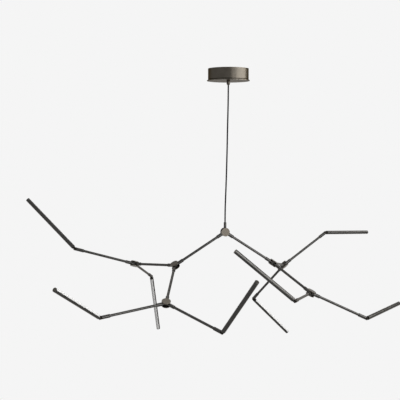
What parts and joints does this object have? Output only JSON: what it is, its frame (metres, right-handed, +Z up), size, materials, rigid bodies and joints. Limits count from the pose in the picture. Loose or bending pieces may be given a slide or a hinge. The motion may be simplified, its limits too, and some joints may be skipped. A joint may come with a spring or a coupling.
{
  "type": "led pendant light",
  "caption": "Branching pendant light: a cord from a round canopy carries swivelling three-way hubs on thin arms, ending in slim round LED heads that tilt at elbows.",
  "frame": {"origin": "centre of the ceiling bracket's upper face, on the canopy's axis in the ceiling plane", "axes": "+Z up to the ceiling, +X to the right and +Y away from the viewer of the picture"},
  "size_m": [1.4517, 1.065, 1.1055],
  "materials": {
    "dark_bronze_metal": "satin dark bronze, brushed",
    "dark_bronze_channel": "satin dark bronze, anodised",
    "opal_diffuser": "satin",
    "led_board": "matte",
    "driver_case": "matte",
    "terminal_nylon": "matte",
    "cord_sheath": "matte",
    "plated_bracket": "zinc plated"
  },
  "bodies": {
    "hanging_frame": {"ceiling_bracket": "plated_bracket", "canopy_shell": "dark_bronze_metal", "canopy_plate": "dark_bronze_metal", "led_driver": "driver_case", "terminal_block": "terminal_nylon", "cord_gland": "dark_bronze_metal", "cord": "cord_sheath", "hub_0_plates": "dark_bronze_metal", "hub_0_core": "dark_bronze_metal", "main_arms": "dark_bronze_metal"},
    "hub_1_branch": {"hub_1_plates": "dark_bronze_metal", "hub_1_core": "dark_bronze_metal", "hub_1_link_arms": "dark_bronze_metal"},
    "hub_2_branch": {"hub_2_plates": "dark_bronze_metal", "hub_2_core": "dark_bronze_metal", "hub_2_link_arms": "dark_bronze_metal"},
    "hub_3_branch": {"hub_3_plates": "dark_bronze_metal", "hub_3_core": "dark_bronze_metal", "hub_3_lamp_arms": "dark_bronze_metal"},
    "hub_4_branch": {"hub_4_plates": "dark_bronze_metal", "hub_4_core": "dark_bronze_metal", "hub_4_lamp_arms": "dark_bronze_metal"},
    "hub_5_branch": {"hub_5_plates": "dark_bronze_metal", "hub_5_core": "dark_bronze_metal", "hub_5_lamp_arms": "dark_bronze_metal"},
    "hub_6_branch": {"hub_6_plates": "dark_bronze_metal", "hub_6_core": "dark_bronze_metal", "hub_6_lamp_arms": "dark_bronze_metal"},
    "elbow_1_fork": {"elbow_1": "dark_bronze_metal"},
    "lamp_1_head": {"lamp_1_housing": "dark_bronze_channel", "lamp_1_diffuser": "opal_diffuser", "lamp_1_led_board": "led_board"},
    "elbow_2_fork": {"elbow_2": "dark_bronze_metal"},
    "lamp_2_head": {"lamp_2_housing": "dark_bronze_channel", "lamp_2_diffuser": "opal_diffuser", "lamp_2_led_board": "led_board"},
    "elbow_3_fork": {"elbow_3": "dark_bronze_metal"},
    "lamp_3_head": {"lamp_3_housing": "dark_bronze_channel", "lamp_3_diffuser": "opal_diffuser", "lamp_3_led_board": "led_board"},
    "elbow_4_fork": {"elbow_4": "dark_bronze_metal"},
    "lamp_4_head": {"lamp_4_housing": "dark_bronze_channel", "lamp_4_diffuser": "opal_diffuser", "lamp_4_led_board": "led_board"},
    "elbow_5_fork": {"elbow_5": "dark_bronze_metal"},
    "lamp_5_head": {"lamp_5_housing": "dark_bronze_channel", "lamp_5_diffuser": "opal_diffuser", "lamp_5_led_board": "led_board"},
    "elbow_6_fork": {"elbow_6": "dark_bronze_metal"},
    "lamp_6_head": {"lamp_6_housing": "dark_bronze_channel", "lamp_6_diffuser": "opal_diffuser", "lamp_6_led_board": "led_board"},
    "elbow_7_fork": {"elbow_7": "dark_bronze_metal"},
    "lamp_7_head": {"lamp_7_housing": "dark_bronze_channel", "lamp_7_diffuser": "opal_diffuser", "lamp_7_led_board": "led_board"},
    "elbow_8_fork": {"elbow_8": "dark_bronze_metal"},
    "lamp_8_head": {"lamp_8_housing": "dark_bronze_channel", "lamp_8_diffuser": "opal_diffuser", "lamp_8_led_board": "led_board"}
  },
  "joints": [
    {"name": "hub_1_swivel", "type": "hinge", "parent": "hanging_frame", "child": "hub_1_branch", "pos_m": [-0.19692, -0.04292, -0.72323], "axis": [-0.8263, -0.1908, -0.5299], "range_deg": [-90, 90]},
    {"name": "hub_2_swivel", "type": "hinge", "parent": "hanging_frame", "child": "hub_2_branch", "pos_m": [0.17286, 0.04245, -0.72654], "axis": [0.8172, 0.1887, -0.5446], "range_deg": [-90, 30]},
    {"name": "hub_3_swivel", "type": "hinge", "parent": "hub_1_branch", "child": "hub_3_branch", "pos_m": [-0.35826, 0.113, -0.74008], "axis": [-0.7171, 0.693, -0.0749], "range_deg": [-90, 90]},
    {"name": "hub_4_swivel", "type": "hinge", "parent": "hub_1_branch", "child": "hub_4_branch", "pos_m": [-0.2215, -0.24177, -0.82562], "axis": [-0.1092, -0.8837, -0.455], "range_deg": [-90, 90]},
    {"name": "hub_5_swivel", "type": "hinge", "parent": "hub_2_branch", "child": "hub_5_branch", "pos_m": [0.29381, -0.12766, -0.81056], "axis": [0.5375, -0.7561, -0.3734], "range_deg": [-90, 30]},
    {"name": "hub_6_swivel", "type": "hinge", "parent": "hub_2_branch", "child": "hub_6_branch", "pos_m": [0.23578, 0.25501, -0.76507], "axis": [0.2796, 0.9447, -0.1712], "range_deg": [-90, 90]},
    {"name": "elbow_1_swivel", "type": "hinge", "parent": "hub_3_branch", "child": "elbow_1_fork", "pos_m": [-0.58112, 0.06119, -0.67456], "axis": [-0.9364, -0.2177, 0.2753], "range_deg": [-90, 90]},
    {"name": "lamp_1_tilt", "type": "hinge", "parent": "elbow_1_fork", "child": "lamp_1_head", "pos_m": [-0.58112, 0.06119, -0.67456], "axis": [-0.3373, 0.7748, -0.5346], "range_deg": [-36, 54]},
    {"name": "elbow_2_swivel", "type": "hinge", "parent": "hub_3_branch", "child": "elbow_2_fork", "pos_m": [-0.30606, 0.32973, -0.82342], "axis": [0.2193, 0.9106, -0.3502], "range_deg": [-90, 90]},
    {"name": "lamp_2_tilt", "type": "hinge", "parent": "elbow_2_fork", "child": "lamp_2_head", "pos_m": [-0.30606, 0.32973, -0.82342], "axis": [-0.9705, 0.2406, 0.0179], "range_deg": [-45, 45]},
    {"name": "elbow_3_swivel", "type": "hinge", "parent": "hub_4_branch", "child": "elbow_3_fork", "pos_m": [-0.43896, -0.33303, -0.85768], "axis": [-0.9137, -0.3835, -0.1347], "range_deg": [-90, 90]},
    {"name": "lamp_3_tilt", "type": "hinge", "parent": "elbow_3_fork", "child": "lamp_3_head", "pos_m": [-0.43896, -0.33303, -0.85768], "axis": [-0.3682, 0.6405, 0.674], "range_deg": [-52, 38]},
    {"name": "elbow_4_swivel", "type": "hinge", "parent": "hub_4_branch", "child": "elbow_4_fork", "pos_m": [-0.03005, -0.36083, -0.90186], "axis": [0.8044, -0.5003, -0.3203], "range_deg": [-25, 90]},
    {"name": "lamp_4_tilt", "type": "hinge", "parent": "elbow_4_fork", "child": "lamp_4_head", "pos_m": [-0.03005, -0.36083, -0.90186], "axis": [-0.5847, -0.7621, -0.278], "range_deg": [-69, 21]},
    {"name": "elbow_5_swivel", "type": "hinge", "parent": "hub_6_branch", "child": "elbow_5_fork", "pos_m": [0.41715, 0.34937, -0.64323], "axis": [0.7621, 0.3965, 0.5119], "range_deg": [-90, 90]},
    {"name": "lamp_5_tilt", "type": "hinge", "parent": "elbow_5_fork", "child": "lamp_5_head", "pos_m": [0.41715, 0.34937, -0.64323], "axis": [-0.5888, 0.7532, 0.2931], "range_deg": [-36, 54]},
    {"name": "elbow_6_swivel", "type": "hinge", "parent": "hub_6_branch", "child": "elbow_6_fork", "pos_m": [0.12097, 0.38549, -0.92767], "axis": [-0.4824, 0.5482, -0.6832], "range_deg": [-90, 90]},
    {"name": "lamp_6_tilt", "type": "hinge", "parent": "elbow_6_fork", "child": "lamp_6_head", "pos_m": [0.12097, 0.38549, -0.92767], "axis": [-0.0208, -0.7869, -0.6168], "range_deg": [-65, 25]},
    {"name": "elbow_7_swivel", "type": "hinge", "parent": "hub_5_branch", "child": "elbow_7_fork", "pos_m": [0.21091, -0.35039, -0.79763], "axis": [-0.3483, -0.9358, 0.0543], "range_deg": [-90, 45]},
    {"name": "lamp_7_tilt", "type": "hinge", "parent": "elbow_7_fork", "child": "lamp_7_head", "pos_m": [0.21091, -0.35039, -0.79763], "axis": [-0.66, 0.2037, -0.7232], "range_deg": [-29, 26]},
    {"name": "elbow_8_swivel", "type": "hinge", "parent": "hub_5_branch", "child": "elbow_8_fork", "pos_m": [0.50465, -0.08488, -0.91236], "axis": [0.8859, 0.1797, -0.4277], "range_deg": [-90, 90]},
    {"name": "lamp_8_tilt", "type": "hinge", "parent": "elbow_8_fork", "child": "lamp_8_head", "pos_m": [0.50465, -0.08488, -0.91236], "axis": [0.4619, -0.4281, 0.7767], "range_deg": [-48, 42]}
  ]
}
